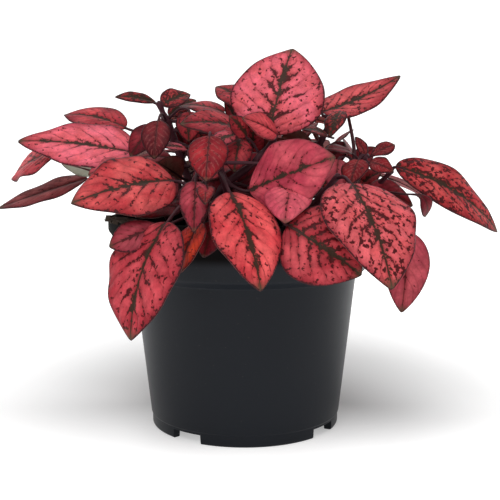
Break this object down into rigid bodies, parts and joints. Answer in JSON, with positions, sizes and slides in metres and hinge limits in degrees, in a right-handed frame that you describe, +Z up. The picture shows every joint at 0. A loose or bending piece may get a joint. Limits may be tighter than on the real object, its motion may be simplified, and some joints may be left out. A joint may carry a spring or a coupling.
{
  "type": "potted polka dot plant",
  "caption": "Bushy polka dot plant with pink-red, dark-spotted pointed leaves on several stems, in a round black nursery pot filled with potting mix.",
  "frame": {"origin": "on the surface the pot stands on, under the middle of the pot", "axes": "+Z up along the pot's axis, -Y towards the side seen in the picture, +X to its right, the way the plant spreads widest"},
  "size_m": [0.2215, 0.1654, 0.1633],
  "materials": {
    "black_plastic": "satin black, moulded",
    "potting_mix": "rough dark brown",
    "spotted_leaf": "soft satin, pink-red with dark green-brown veins and spots"
  },
  "bodies": {
    "root": {"pot": "black_plastic", "soil": "potting_mix", "stem_left": "spotted_leaf", "stem_front_left": "spotted_leaf", "stem_front": "spotted_leaf", "stem_top": "spotted_leaf", "stem_front_right": "spotted_leaf", "stem_right": "spotted_leaf", "stem_far_right": "spotted_leaf", "stem_upper_right": "spotted_leaf", "stem_upper_left": "spotted_leaf", "stem_rear_1": "spotted_leaf", "stem_rear_2": "spotted_leaf", "stem_rear_3": "spotted_leaf", "stem_rear_4": "spotted_leaf", "stem_rear_5": "spotted_leaf", "stem_rear_6": "spotted_leaf", "stem_middle": "spotted_leaf"}
  },
  "joints": []
}
